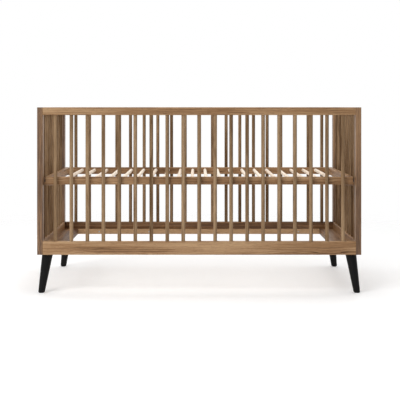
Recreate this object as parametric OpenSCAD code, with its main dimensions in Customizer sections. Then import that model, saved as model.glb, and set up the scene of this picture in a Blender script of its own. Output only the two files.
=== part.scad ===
// Baby cot bed on four splayed legs: slatted sides and ends between corner posts,
// and a slatted mattress base that is set at different heights.
// Millimetres, +Z up. The origin is on the floor under the middle of the cot.
// X runs along the cot and Y across it, with the front at -Y.

/* [Overall size] */
// Length of the cot over its corner posts
bed_l = 1455; // [1210:1:1750]
// Width of the cot over its corner posts
bed_w = 755; // [625:1:910]
// Height of the wooden body, from the feet of the posts to the top rails
body_h = 662; // [540:1:800]
// Height of the legs, from the floor to the underside of the body
leg_h = 173; // [145:1:207]

/* [Posts and rails] */
// Width of a corner post, along the cot
post_t = 25; // [24:1:32]
// Depth of a corner post, across the cot
post_d = 40; // [36:1:50]
// Thickness of the side and end rails
rail_t = 25; // [24:1:27]
// Height of the top rails
top_rail_h = 35; // [33:1:45]
// Height of the bottom rails
bottom_rail_h = 60; // [50:1:75]
// Rounding of the long edges of the posts and rails
edge_r = 2.5; // [1:0.5:4]

/* [Panel slats] */
// Diameter of the upright slats
slat_d = 17; // [12:0.5:20]
// How deep a slat is let into a rail
slat_seat = 12; // [8:1:15]
// Widest clear gap between two slats of a panel
slat_gap_max = 55; // [45:1:66]
// Distance from a post to the middle of the first slat
slat_inset = 56; // [52:1:64]

/* [Floor of the body] */
// Width of the two end boards that carry the legs
board_w = 72.5; // [60:0.5:90]
// Thickness of the end boards and of the battens
board_t = 25; // [22:1:30]
// Width of the battens along the bottom rails
batten_w = 25; // [18:1:35]

/* [Legs] */
// Diameter of a leg at the body
leg_top_d = 49; // [40:1:54]
// Diameter of a leg at the floor
leg_foot_d = 29; // [26:1:36]
// How far a leg's foot stands further out than its top, both ways
leg_splay = 24; // [0:1:28]
// Distance from the end of the cot to the middle of a leg's top
leg_in_x = 40.5; // [38:0.5:60]
// Distance from the side of the cot to the middle of a leg's top
leg_in_y = 45; // [42:0.5:70]
// Thickness of the glide under a leg
glide_t = 3; // [2:0.5:6]
// Diameter of the glide under a leg
glide_d = 23; // [16:1:25]

/* [Mattress base] */
// Height of the base's underside over the body's underside, at its top setting
base_rise = 313; // [300:1:420]
// Distance between two height settings
height_step = 140; // [120:1:140]
// Height of the base rails
base_rail_h = 35; // [32:1:50]
// Width of the end rails of the base
base_end_w = 25; // [22:1:40]
// Thickness of the front and rear rails of the base
base_side_t = 22; // [20:1:35]
// Diameter of the base slats
base_slat_d = 16; // [12:0.5:18]
// How far the middle of a base slat lies below the top of the base
base_slat_drop = 14; // [10:0.5:16]
// Widest clear gap between two base slats
base_gap_max = 48; // [40:1:60]
// Distance from an end rail of the base to the middle of its first slat
base_slat_inset = 65; // [50:1:70]
// Gap between the base and the posts, which the bracket fills
base_end_gap = 4.5; // [4.5:0.5:8]
// Gap between the base and the side rails
base_side_gap = 3; // [2:0.5:5]

/* [Brackets] */
// Thickness of a base bracket
bracket_t = 4; // [3:0.5:4]
// Depth of a bracket's shelf, across the cot
shelf_d = 39; // [34:1:70]
// Height of a bracket's upright leg over its shelf
bracket_leg_h = 32; // [28:1:32]

/* [Fasteners] */
// Diameter of the machine bolts
bolt_d = 6; // [5:0.5:7]
// Diameter of a rail bolt's flat head
bolt_head_d = 15; // [12:0.5:16]
// Thickness of a bolt head
bolt_head_t = 3; // [2:0.5:4]
// Distance from the end of a rail to its barrel nut
nut_in = 30; // [24:1:34]
// Diameter of a barrel nut
barrel_d = 10; // [9:0.5:12]
// Diameter of the wooden dowels
dowel_d = 8; // [6:0.5:8]
// Length of the wooden dowels
dowel_l = 40; // [30:1:44]
// Diameter of the wood screws
screw_d = 4; // [3:0.5:5]
// Diameter of the leg bolts
leg_bolt_d = 8; // [6:0.5:10]
// Length of a leg bolt inside its leg
leg_bolt_in = 40; // [25:1:60]

/* [Hidden] */

// Finishes
walnut = [0.55, 0.42, 0.31];
walnut_dark = [0.47, 0.36, 0.26];
birch = [0.91, 0.83, 0.74];
black_paint = [0.10, 0.10, 0.09];
zinc = [0.70, 0.70, 0.68];
brown_steel = [0.42, 0.32, 0.23];
beech = [0.80, 0.66, 0.48];

// Clearances
glue_gap = 0.1;      // round a slat or a dowel in its hole
bolt_gap = 0.25;     // round a bolt in its hole
run_gap = 0.3;       // between pieces that move past each other
recess = 0.5;        // a bolt head or a nut below the surface
bore_fn = 48;

// Levels and planes of the body, in the quarter where X and Y are positive
hx = bed_l / 2;
hy = bed_w / 2;
body_z = leg_h;
top_z = leg_h + body_h;
inner_x = hx - post_t;               // posts' faces towards the middle
inner_y = hy - post_d;
rail_in_x = hx - rail_t;             // inner faces of the end rails
rail_in_y = hy - rail_t;             // inner faces of the side rails
bottom_z = body_z + bottom_rail_h;   // top of the bottom rails
under_top_z = top_z - top_rail_h;    // underside of the top rails

// Panel slats: as many as keep the gap within its limit
slat_pitch_max = slat_gap_max + slat_d;
side_run = 2 * (inner_x - slat_inset);
side_steps = ceil(side_run / slat_pitch_max - 0.01);
side_xs = [for (i = [0 : side_steps]) -side_run / 2 + i * side_run / side_steps];
end_run = 2 * (inner_y - slat_inset);
end_steps = ceil(end_run / slat_pitch_max - 0.01);
end_ys = [for (i = [0 : end_steps]) -end_run / 2 + i * end_run / end_steps];

// Fasteners of the rails
rail_bolt_up = 6;        // rail bolt over the middle of the rail
rail_dowel_down = 8;     // dowel below the middle of the rail
bolt_past_nut = 3;       // bolt end beyond the barrel nut
nut_floor = 4;           // wood left in front of a barrel nut
end_dowel_low = 10;      // lower dowel of an end rail over its underside
end_dowel_step = 16;     // upper dowel over the lower one
end_dowel_half = min(dowel_l / 2, post_d - 18);
board_dowel_in = 15;     // dowel length in the end rail
batten_screws_n = 5;
batten_screw_grip = 15;  // screw length in the bottom rail

// Mattress base
base_z = body_z + base_rise;
base_top_z = base_z + base_rail_h;
base_hx = inner_x - base_end_gap;
base_hy = rail_in_y - base_side_gap;
base_in_x = base_hx - base_end_w;
base_in_y = base_hy - base_side_t;
base_mid_y = base_hy - base_side_t / 2;
base_slat_z = base_top_z - base_slat_drop;
base_seat = min(12, base_side_t - 6);
base_run = 2 * (base_in_x - base_slat_inset);
base_steps = ceil(base_run / (base_gap_max + base_slat_d) - 0.01);
base_xs = [for (i = [0 : base_steps]) -base_run / 2 + i * base_run / base_steps];
base_dowel_zs = [base_z + 9, base_top_z - 9];
base_dowel_x = base_hx - base_end_w / 2;
base_dowel_in = 12;      // dowel length in the front or rear rail of the base

// Bracket and its bolt, in the part of a post's face that the side rails leave free
leg_y0 = inner_y + 0.5;
leg_y1 = base_hy - 1;
base_bolt_y = (leg_y0 + leg_y1) / 2;
base_bolt_z = base_z + base_rail_h / 2;
setting_zs = [for (i = [0 : 2]) base_bolt_z - i * height_step];
base_nut_t = 3.2;
base_nut_w = 10;
base_nut_x = inner_x - run_gap - bracket_t - run_gap;
base_head_d = 11;
bracket_screw_l = 22;
bracket_screw_xs = [for (i = [0, 1]) base_dowel_x - dowel_d / 2 - 5.5 - 12 * i];
shelf_x0 = bracket_screw_xs[1] - 6;

// Legs: axis from the foot to the top
leg_x = hx - leg_in_x;
leg_y = hy - leg_in_y;
leg_axis = [-leg_splay, -leg_splay, leg_h];
leg_len = norm(leg_axis);
leg_tilt = acos(leg_h / leg_len);
leg_insert_d = 12;
leg_insert_l = 18;
glide_pin_d = 3;
glide_pin_l = 12;

// ---------- helpers ----------

// Puts children that are drawn in the positive quarter into quarter sx, sy
module quarter(sx, sy) {
    mirror([sx < 0 ? 1 : 0, 0, 0]) mirror([0, sy < 0 ? 1 : 0, 0]) children();
}

// The same, in all four quarters
module quarters() {
    for (sx = [-1, 1], sy = [-1, 1]) quarter(sx, sy) children();
}

// Corners of a rectangle a by b from the origin, each an arc of radius r
function arc_rect(a, b, r, n = 5) = [
    for (c = [[a - r, b - r, 0], [r, b - r, 90], [r, r, 180], [a - r, r, 270]])
        for (i = [0 : n]) [c[0] + r * cos(c[2] + 90 * i / n), c[1] + r * sin(c[2] + 90 * i / n)]
];

// Bars with rounded long edges, from corner p with size s
module bar_x(p, s, r = edge_r) {
    translate(p) rotate([90, 0, 90]) linear_extrude(s[0]) polygon(arc_rect(s[1], s[2], r));
}
module bar_y(p, s, r = edge_r) {
    translate([p[0], p[1] + s[1], p[2]]) rotate([90, 0, 0])
        linear_extrude(s[1]) polygon(arc_rect(s[0], s[2], r));
}
module bar_z(p, s, r = edge_r) {
    translate(p) linear_extrude(s[2]) polygon(arc_rect(s[0], s[1], r));
}

// Rods and bores of diameter d from point p, length l
module rod_x(p, d, l) {
    translate(p) rotate([0, 90, 0]) cylinder(h = l, d = d, $fn = bore_fn);
}
module rod_y(p, d, l) {
    translate(p) rotate([-90, 0, 0]) cylinder(h = l, d = d, $fn = bore_fn);
}
module rod_z(p, d, l) {
    translate(p) cylinder(h = l, d = d, $fn = bore_fn);
}

// A rod or bore along a leg's axis, from s0 to s1 over the leg's top
module rod_leg(d, s0, s1) {
    translate([leg_x, leg_y, body_z]) rotate([0, leg_tilt, 225])
        translate([0, 0, s0]) cylinder(h = s1 - s0, d = d, $fn = bore_fn);
}

// ---------- where the fasteners of the posts and rails sit ----------

function rail_bolt_z(z, h) = z + h / 2 + rail_bolt_up;
function rail_dowel_z(z, h) = z + h / 2 - rail_dowel_down;
function end_dowel_zs(z) = [z + end_dowel_low, z + end_dowel_low + end_dowel_step];
rails = [[body_z, bottom_rail_h], [under_top_z, top_rail_h]];
rail_mid_y = hy - rail_t / 2;
rail_mid_x = hx - rail_t / 2;
bolt_tip_x = inner_x - nut_in - barrel_d / 2 - bolt_past_nut;
board_dowel_z = body_z + board_t / 2;
board_dowel_ys = [rail_in_y / 3, rail_in_y - 55];
batten_run = 2 * (rail_in_x - board_w) - 220;
batten_xs = [for (i = [0 : batten_screws_n - 1]) -batten_run / 2 + i * batten_run / (batten_screws_n - 1)];

// ---------- corner posts ----------

// Counterbored bolt hole along X through a post
module post_bolt_hole(y, z, head_d) {
    rod_x([inner_x - 1, y, z], bolt_d + 2 * bolt_gap, post_t + 2);
    rod_x([hx - recess - bolt_head_t, y, z], head_d + 2 * bolt_gap, recess + bolt_head_t + 1);
}

module post(sx, sy) {
    color(walnut_dark) quarter(sx, sy) difference() {
        bar_z([inner_x, inner_y, body_z], [post_t, post_d, body_h]);
        for (r = rails) {
            post_bolt_hole(rail_mid_y, rail_bolt_z(r[0], r[1]), bolt_head_d);
            rod_x([inner_x - 1, rail_mid_y, rail_dowel_z(r[0], r[1])],
                  dowel_d + 2 * glue_gap, 1 + dowel_in_post());
            for (z = end_dowel_zs(r[0]))
                rod_y([rail_mid_x, inner_y - 1, z], dowel_d + 2 * glue_gap, 1 + end_dowel_half);
        }
        for (z = setting_zs) post_bolt_hole(base_bolt_y, z, base_head_d);
    }
}
function dowel_in_post() = min(15, post_t - 8);

// ---------- rails ----------

// Bores for the barrel nut, bolt and dowel at both ends of a side rail
module side_rail_end_bores(z, h) {
    for (sx = [0, 1]) mirror([sx, 0, 0]) {
        rod_x([bolt_tip_x - 1, rail_mid_y, rail_bolt_z(z, h)], bolt_d + 2 * bolt_gap,
              inner_x - bolt_tip_x + 2);
        rod_y([inner_x - nut_in, rail_in_y - 1, rail_bolt_z(z, h)], barrel_d + 2 * glue_gap,
              1 + rail_t - nut_floor);
        rod_x([inner_x - dowel_l + dowel_in_post(), rail_mid_y, rail_dowel_z(z, h)],
              dowel_d + 2 * glue_gap, dowel_l - dowel_in_post() + 1);
    }
}

module side_top_rail(sy) {
    color(walnut) quarter(1, sy) difference() {
        bar_x([-inner_x, rail_in_y, under_top_z], [2 * inner_x, rail_t, top_rail_h]);
        side_rail_end_bores(under_top_z, top_rail_h);
        for (x = side_xs)
            rod_z([x, rail_mid_y, under_top_z - 1], slat_d + 2 * glue_gap, 1 + slat_seat);
    }
}

module side_bottom_rail(sy) {
    color(walnut) quarter(1, sy) difference() {
        bar_x([-inner_x, rail_in_y, body_z], [2 * inner_x, rail_t, bottom_rail_h]);
        side_rail_end_bores(body_z, bottom_rail_h);
        for (x = side_xs)
            rod_z([x, rail_mid_y, bottom_z - slat_seat], slat_d + 2 * glue_gap, 1 + slat_seat);
        for (x = batten_xs)
            rod_y([x, rail_in_y - 1, board_dowel_z], screw_d, 1 + batten_screw_grip);
    }
}

// Bores for the dowels at both ends of an end rail
module end_rail_end_bores(z) {
    for (sy = [0, 1], zz = end_dowel_zs(z)) mirror([0, sy, 0])
        rod_y([rail_mid_x, inner_y - dowel_l + end_dowel_half, zz], dowel_d + 2 * glue_gap,
              dowel_l - end_dowel_half + 1);
}

module end_top_rail(sx) {
    color(walnut) quarter(sx, 1) difference() {
        bar_y([rail_in_x, -inner_y, under_top_z], [rail_t, 2 * inner_y, top_rail_h]);
        end_rail_end_bores(under_top_z);
        for (y = end_ys)
            rod_z([rail_mid_x, y, under_top_z - 1], slat_d + 2 * glue_gap, 1 + slat_seat);
    }
}

module end_bottom_rail(sx) {
    color(walnut) quarter(sx, 1) difference() {
        bar_y([rail_in_x, -inner_y, body_z], [rail_t, 2 * inner_y, bottom_rail_h]);
        end_rail_end_bores(body_z);
        for (y = end_ys)
            rod_z([rail_mid_x, y, bottom_z - slat_seat], slat_d + 2 * glue_gap, 1 + slat_seat);
        for (y = board_dowel_ys, sy = [-1, 1])
            rod_x([rail_in_x - 1, sy * y, board_dowel_z], dowel_d + 2 * glue_gap,
                  1 + board_dowel_in);
    }
}

// ---------- panel slats ----------

slat_z0 = bottom_z - slat_seat;
slat_l = under_top_z + slat_seat - slat_z0;

module side_slats(sy) {
    color(walnut) for (x = side_xs) rod_z([x, sy * rail_mid_y, slat_z0], slat_d, slat_l);
}

module end_slats(sx) {
    color(walnut) for (y = end_ys) rod_z([sx * rail_mid_x, y, slat_z0], slat_d, slat_l);
}

// ---------- floor of the body ----------

module end_board(sx) {
    color(walnut) quarter(sx, 1) difference() {
        bar_y([rail_in_x - board_w, -rail_in_y, body_z], [board_w, 2 * rail_in_y, board_t], 1.5);
        for (y = board_dowel_ys, sy = [-1, 1])
            rod_x([rail_in_x - dowel_l + board_dowel_in, sy * y, board_dowel_z],
                  dowel_d + 2 * glue_gap, dowel_l - board_dowel_in + 1);
        for (sy = [0, 1]) mirror([0, sy, 0])
            rod_leg(leg_insert_d + 2 * glue_gap, -5, leg_insert_l + 2);
    }
}

module batten(sy) {
    color(walnut) quarter(1, sy) difference() {
        bar_x([board_w - rail_in_x, rail_in_y - batten_w, body_z],
              [2 * (rail_in_x - board_w), batten_w, board_t], 1.5);
        for (x = batten_xs) screw_hole_y([x, rail_in_y - batten_w, board_dowel_z], batten_w);
    }
}

// Countersunk hole for a wood screw that enters along +Y
module screw_hole_y(p, l) {
    rod_y([p[0], p[1] - 1, p[2]], screw_d, l + 2);
    translate(p) rotate([-90, 0, 0]) cylinder(h = screw_d / 2, d1 = 2 * screw_d, d2 = screw_d, $fn = bore_fn);
}

// Wood screw with a countersunk head and a cross recess, along +Z from the origin
module wood_screw(l) {
    difference() {
        union() {
            cylinder(h = l, d = screw_d, $fn = bore_fn);
            cylinder(h = screw_d / 2, d1 = 2 * screw_d, d2 = screw_d, $fn = bore_fn);
        }
        for (a = [0, 90]) rotate(a) translate([-screw_d / 2, -0.5, -1]) cube([screw_d, 1, 2.5]);
    }
}

module batten_screws() {
    color(zinc) for (x = batten_xs, sy = [0, 1]) mirror([0, sy, 0])
        translate([x, rail_in_y - batten_w, board_dowel_z]) rotate([-90, 0, 0])
            wood_screw(batten_w + batten_screw_grip);
}

// ---------- legs ----------

// Round tapered leg, leaning out both ways, cut level at the body and at its glide
module leg(sx, sy) {
    over = 12;
    slope = (leg_top_d - leg_foot_d) / leg_len;
    color(black_paint) quarter(sx, sy) difference() {
        intersection() {
            translate([leg_x, leg_y, body_z]) rotate([0, leg_tilt, 225]) translate([0, 0, -leg_len - over])
                cylinder(h = leg_len + 2 * over, d1 = leg_foot_d - slope * over,
                         d2 = leg_top_d + slope * over, $fn = 96);
            translate([leg_x - 100, leg_y - 100, glide_t]) cube([200, 200, body_z - glide_t]);
        }
        rod_leg(leg_bolt_d + 2 * glue_gap, -leg_bolt_in, 10);
        rod_z([leg_x + leg_splay, leg_y + leg_splay, 0], glide_pin_d, glide_t + glide_pin_l);
    }
}

module glide(sx, sy) {
    color("dimgray") quarter(sx, sy) translate([leg_x + leg_splay, leg_y + leg_splay, 0]) {
        cylinder(h = 1, d1 = glide_d - 2, d2 = glide_d, $fn = 64);
        translate([0, 0, 1]) cylinder(h = glide_t - 1, d = glide_d, $fn = 64);
        cylinder(h = glide_t + glide_pin_l, d = glide_pin_d, $fn = bore_fn);
    }
}

// Hanger bolts that hold the legs, and the threaded inserts that take them
module leg_bolts() {
    color(zinc) quarters() rod_leg(leg_bolt_d, -leg_bolt_in, leg_insert_l);
}

module leg_inserts() {
    color(zinc) quarters() difference() {
        rod_leg(leg_insert_d, 2, leg_insert_l + 2);
        rod_leg(leg_bolt_d, 0, leg_insert_l);
    }
}

// ---------- fasteners of the body ----------

// Bolt with a flat head and a hex socket, along X inwards from a post's outer face to tip_x
module post_bolt(y, z, head_d, tip_x) {
    difference() {
        union() {
            rod_x([tip_x, y, z], bolt_d, hx - recess - tip_x);
            rod_x([hx - recess - bolt_head_t, y, z], head_d, bolt_head_t);
        }
        translate([hx - recess - 2.5, y, z]) rotate([0, 90, 0]) cylinder(h = 3, d = 4.6, $fn = 6);
    }
}

module rail_bolts() {
    color(zinc) quarters() for (r = rails)
        post_bolt(rail_mid_y, rail_bolt_z(r[0], r[1]), bolt_head_d, bolt_tip_x);
}

module barrel_nuts() {
    color(zinc) quarters() for (r = rails) difference() {
        rod_y([inner_x - nut_in, rail_in_y + recess, rail_bolt_z(r[0], r[1])], barrel_d,
              rail_t - nut_floor - recess);
        rod_x([bolt_tip_x, rail_mid_y, rail_bolt_z(r[0], r[1])], bolt_d, nut_in);
        translate([inner_x - nut_in - barrel_d, rail_in_y, rail_bolt_z(r[0], r[1]) - 0.6])
            cube([2 * barrel_d, recess + 1.5, 1.2]);
    }
}

module rail_dowels() {
    color(beech) quarters() for (r = rails)
        rod_x([inner_x - dowel_l + dowel_in_post(), rail_mid_y, rail_dowel_z(r[0], r[1])],
              dowel_d, dowel_l);
}

module end_dowels() {
    color(beech) quarters() for (r = rails, z = end_dowel_zs(r[0]))
        rod_y([rail_mid_x, inner_y - dowel_l + end_dowel_half, z], dowel_d, dowel_l);
}

module board_dowels() {
    color(beech) quarters() for (y = board_dowel_ys)
        rod_x([rail_in_x - dowel_l + board_dowel_in, y, board_dowel_z], dowel_d, dowel_l);
}

// Bolts through the posts, and their nuts, that clamp the brackets of the base
module base_bolts() {
    color(zinc) quarters()
        post_bolt(base_bolt_y, base_bolt_z, base_head_d, base_nut_x - base_nut_t);
}

module base_nuts() {
    color(zinc) quarters() difference() {
        translate([base_nut_x - base_nut_t, base_bolt_y, base_bolt_z]) rotate([0, 90, 0])
            cylinder(h = base_nut_t, d = base_nut_w / cos(30), $fn = 6);
        rod_x([base_nut_x - 10, base_bolt_y, base_bolt_z], bolt_d, 20);
    }
}

// ---------- mattress base ----------

module base_side_rail(sy) {
    color(walnut) quarter(1, sy) difference() {
        bar_x([-base_hx, base_in_y, base_z], [2 * base_hx, base_side_t, base_rail_h]);
        for (x = base_xs)
            rod_y([x, base_in_y - 1, base_slat_z], base_slat_d + 2 * glue_gap, 1 + base_seat);
        for (sx = [0, 1]) mirror([sx, 0, 0]) {
            for (z = base_dowel_zs)
                rod_y([base_dowel_x, base_in_y - 1, z], dowel_d + 2 * glue_gap, 1 + base_dowel_in);
            // room for the nut of the base bolt, open at the top and at the end
            translate([base_nut_x - base_nut_t - run_gap, base_bolt_y - base_nut_w / 2 - 2 * run_gap,
                       base_bolt_z - base_nut_w / 2 / cos(30) - 2 * run_gap])
                cube([base_end_w, post_d, base_rail_h]);
            bracket_screw_spots() translate([0, 0, -bracket_t - 1])
                cylinder(h = bracket_screw_l + 1, d = screw_d, $fn = bore_fn);
        }
    }
}

module base_end_rail(sx) {
    color(walnut) quarter(sx, 1) difference() {
        bar_y([base_in_x, -base_in_y, base_z], [base_end_w, 2 * base_in_y, base_rail_h]);
        for (sy = [0, 1], z = base_dowel_zs) mirror([0, sy, 0])
            rod_y([base_dowel_x, base_in_y - dowel_l + base_dowel_in, z], dowel_d + 2 * glue_gap,
                  dowel_l - base_dowel_in + 1);
    }
}

module base_slats() {
    color(birch) for (x = base_xs)
        rod_y([x, -base_in_y - base_seat, base_slat_z], base_slat_d, 2 * (base_in_y + base_seat));
}

module base_dowels() {
    color(beech) quarters() for (z = base_dowel_zs)
        rod_y([base_dowel_x, base_in_y - dowel_l + base_dowel_in, z], dowel_d, dowel_l);
}

// Puts children on the underside of the base, at the two screws of a bracket
module bracket_screw_spots() {
    for (x = bracket_screw_xs) translate([x, base_mid_y, base_z]) children();
}

// Angle bracket: a shelf under the base's corner and a fork that the base bolt clamps to the post
module bracket(sx, sy) {
    leg_x0 = inner_x - run_gap - bracket_t;
    color(brown_steel) quarter(sx, sy) difference() {
        union() {
            translate([shelf_x0, leg_y1 - shelf_d, base_z - bracket_t])
                cube([leg_x0 + bracket_t - shelf_x0, shelf_d, bracket_t]);
            translate([leg_x0, leg_y0, base_z - bracket_t])
                cube([bracket_t, leg_y1 - leg_y0, bracket_t + bracket_leg_h]);
        }
        rod_x([leg_x0 - 1, base_bolt_y, base_bolt_z], bolt_d + 2 * run_gap, bracket_t + 2);
        translate([leg_x0 - 1, base_bolt_y - bolt_d / 2 - run_gap, base_bolt_z])
            cube([bracket_t + 2, bolt_d + 2 * run_gap, base_rail_h]);
        bracket_screw_spots() translate([0, 0, -bracket_t]) {
            translate([0, 0, -1]) cylinder(h = bracket_t + 2, d = screw_d, $fn = bore_fn);
            cylinder(h = screw_d / 2, d1 = 2 * screw_d, d2 = screw_d, $fn = bore_fn);
        }
    }
}

module bracket_screws() {
    color(zinc) quarters() bracket_screw_spots() translate([0, 0, -bracket_t]) wood_screw(bracket_screw_l);
}

// ---------- nodes ----------

post(-1, -1);  // front_left_post
post(1, -1);  // front_right_post
post(-1, 1);  // rear_left_post
post(1, 1);  // rear_right_post
side_top_rail(-1);  // front_top_rail
side_bottom_rail(-1);  // front_bottom_rail
side_top_rail(1);  // rear_top_rail
side_bottom_rail(1);  // rear_bottom_rail
end_top_rail(-1);  // left_top_rail
end_bottom_rail(-1);  // left_bottom_rail
end_top_rail(1);  // right_top_rail
end_bottom_rail(1);  // right_bottom_rail
side_slats(-1);  // front_slats
side_slats(1);  // rear_slats
end_slats(-1);  // left_slats
end_slats(1);  // right_slats
end_board(-1);  // left_end_board
end_board(1);  // right_end_board
batten(-1);  // front_batten
batten(1);  // rear_batten
leg(-1, -1);  // front_left_leg
leg(1, -1);  // front_right_leg
leg(-1, 1);  // rear_left_leg
leg(1, 1);  // rear_right_leg
glide(-1, -1);  // front_left_glide
glide(1, -1);  // front_right_glide
glide(-1, 1);  // rear_left_glide
glide(1, 1);  // rear_right_glide
leg_bolts();
leg_inserts();
rail_bolts();
barrel_nuts();
rail_dowels();
end_dowels();
board_dowels();
batten_screws();
base_bolts();
base_nuts();
base_side_rail(-1);  // base_front_rail
base_side_rail(1);  // base_rear_rail
base_end_rail(-1);  // base_left_rail
base_end_rail(1);  // base_right_rail
base_slats();
base_dowels();
bracket(-1, -1);  // front_left_bracket
bracket(1, -1);  // front_right_bracket
bracket(-1, 1);  // rear_left_bracket
bracket(1, 1);  // rear_right_bracket
bracket_screws();
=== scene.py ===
"""A slatted baby cot on splayed legs: the finished look of every piece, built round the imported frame."""

import math

import bmesh
import bpy
import numpy as np
from bpy.props import FloatProperty, FloatVectorProperty, IntProperty, PointerProperty
from bpy.types import Operator, Panel, PropertyGroup
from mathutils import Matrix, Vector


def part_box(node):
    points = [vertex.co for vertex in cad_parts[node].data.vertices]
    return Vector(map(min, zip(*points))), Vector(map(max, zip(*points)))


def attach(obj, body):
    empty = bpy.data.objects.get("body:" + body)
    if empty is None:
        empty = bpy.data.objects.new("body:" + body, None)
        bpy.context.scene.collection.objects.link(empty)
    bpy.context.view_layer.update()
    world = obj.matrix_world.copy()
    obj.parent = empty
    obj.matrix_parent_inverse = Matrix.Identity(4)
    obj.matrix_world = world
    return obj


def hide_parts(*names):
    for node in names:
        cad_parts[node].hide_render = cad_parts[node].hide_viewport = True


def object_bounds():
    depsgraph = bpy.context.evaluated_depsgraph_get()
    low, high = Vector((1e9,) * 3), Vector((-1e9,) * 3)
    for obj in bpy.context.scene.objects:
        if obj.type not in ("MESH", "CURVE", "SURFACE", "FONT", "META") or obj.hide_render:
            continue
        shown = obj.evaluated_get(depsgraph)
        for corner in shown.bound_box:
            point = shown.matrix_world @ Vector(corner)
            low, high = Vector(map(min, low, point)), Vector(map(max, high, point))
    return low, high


bl_info = {
    "name": "Cot Finish",
    "version": (1, 0, 0),
    "blender": (4, 5, 0),
    "location": "View3D > Sidebar > Cot",
    "description": "Builds the wood, paint and steel of a slatted cot round its frame",
    "category": "Object",
}

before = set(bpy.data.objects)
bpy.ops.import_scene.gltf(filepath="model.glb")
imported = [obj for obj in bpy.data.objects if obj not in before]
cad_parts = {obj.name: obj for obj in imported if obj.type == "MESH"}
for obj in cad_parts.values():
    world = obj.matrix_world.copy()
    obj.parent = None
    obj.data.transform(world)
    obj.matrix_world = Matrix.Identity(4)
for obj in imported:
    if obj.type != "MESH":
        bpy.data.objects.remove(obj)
CAD_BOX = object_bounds()

CORNERS = ("front_left", "front_right", "rear_left", "rear_right")
SIDES = ("front", "rear")
ENDS = ("left", "right")
BODY = "cot"
BASE = "mattress_base"

# Reading and joining the frame's meshes, in metres and radians.
LEVEL_MATCH = 1e-5
ROD_GAP = 0.012
WELD_DISTANCE = 2e-6
FLAT_ANGLE = math.radians(1)
SHARP_ANGLE = math.radians(35)
TURNED_ANGLE = math.radians(40)

# Fineness of the new meshes: metres between rings, steps of an arc, and faces round.
BAR_SPAN = 0.06
ROD_SPAN = 0.045
ARC_STEPS = 5
FOOT_STEPS = 7
LEG_RINGS = 25
LEG_SIDES = 64
GLIDE_SIDES = 48

# How dark each kind of piece is, and how far pieces of one kind differ. Most entries are the stain's own
# tone.
# The darker rear bottom rail, rear slats, end slats and end boards are painted shade.
# The lighter battens are painted light.
TONES_AND_PAINTED_LIGHT = {
    "posts": 0.72, "top rails": 0.3, "front bottom rail": 0.16, "rear bottom rail": 0.8,
    "end rails": 0.4, "front slats": 0.56, "rear slats": 0.8, "end slats": 0.77,
    "end boards": 0.75, "battens": -0.15, "base side rails": 0.3, "base end rails": 0.45,
    "base slats": 0.2,
}
BOARD_SPREAD = 0.05
SIDE_SLAT_SPREAD = 0.07
END_SLAT_SPREAD = 0.1
BASE_SLAT_SPREAD = 0.2

# The grain: cells per metre along and twice across the fibres, and metres that a ring strays.
GRAIN_CELLS = {
    "wander": (2.4, 14, 14), "crowding": (1.2, 75, 75), "broad": (1.7, 34, 34),
    "fibre": (11, 520, 520), "pore": (46, 1250, 1250),
}
RING_WANDER = 0.034
RING_CROWDING = 0.009
FAINTEST_RING = 0.15
BROAD_SHARE = 1.9
FIBRE_SHARE = 1.1

# Strength of the reflection on stained wood.
SHEEN = {"stained_posts": 0.7, "stained_slats": 0.1}
BOARD_SHEEN = 0.3

# The studio, in metres.
LIGHT_AIM = (0, 0, 0.5)
KEY_PLACE, KEY_SIZE = (-2.6, -3.4, 3.0), 3.0
OVERHEAD_PLACE, OVERHEAD_SIZE = (0.3, 0.2, 3.4), 2.6
FLOOR_HUB, FLOOR_REACH = 0.05, 4.0
FLOOR_CLEARS = (1.4, 3.2)
FLOOR_GLOW = 0.14


# ---------- reading the frame ----------


def node_points(node):
    """Every vertex of a CAD node, as an array of rows (x, y, z) in metres."""
    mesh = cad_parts[node].data
    points = np.empty(len(mesh.vertices) * 3, np.float32)
    mesh.vertices.foreach_get("co", points)
    return points.reshape(-1, 3).astype(float)


def node_box(node):
    """Lowest and highest corner of a CAD node as two arrays."""
    low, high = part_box(node)
    return np.array(low), np.array(high)


def level_section(node, top):
    """Centre and radius of a node's round end: half the sum and half the spread of its end points."""
    points = node_points(node)
    level = points[:, 2].max() if top else points[:, 2].min()
    ring = points[np.abs(points[:, 2] - level) < LEVEL_MATCH]
    centre = (ring.max(0) + ring.min(0)) / 2
    return centre, (ring[:, 0].max() - ring[:, 0].min()) / 2


def rod_centres(node, across):
    """Middle of every separate rod in a group along one axis, from the gaps between their points."""
    values = np.unique(np.round(node_points(node)[:, across], 5))
    breaks = np.flatnonzero(np.diff(values) > ROD_GAP)
    starts = np.concatenate([[0], breaks + 1])
    stops = np.concatenate([breaks, [len(values) - 1]])
    return (values[starts] + values[stops]) / 2


# ---------- surfaces ----------


def grid_faces(rings, points):
    """Quads between neighbouring rings of a tube, with the last point of a ring joined to its first."""
    ring, point = np.meshgrid(np.arange(rings - 1), np.arange(points), indexing="ij")
    after = (point + 1) % points
    this, above = ring * points, (ring + 1) * points
    return np.stack([this + point, this + after, above + after, above + point], -1).reshape(-1, 4)


def turned(local, axis):
    """Rows (u, v, w), with w along the piece, as rows (x, y, z) for a piece along the given axis."""
    order = {0: (2, 0, 1), 1: (1, 2, 0), 2: (0, 1, 2)}[axis]
    return local[..., order]


def rounded_outline(width, height, radius, steps):
    """Points and normals round a rectangle with arc corners: corner centre + radius (cos a, sin a)."""
    turn = np.arange(4)[:, None] * np.pi / 2 + np.linspace(0, np.pi / 2, steps + 1)
    normal = np.stack([np.cos(turn), np.sin(turn)], -1).reshape(-1, 2)
    sign = np.array([[1, 1], [-1, 1], [-1, -1], [1, -1]]).repeat(steps + 1, 0)
    return sign * (np.array([width, height]) / 2 - radius) + radius * normal, normal


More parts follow.
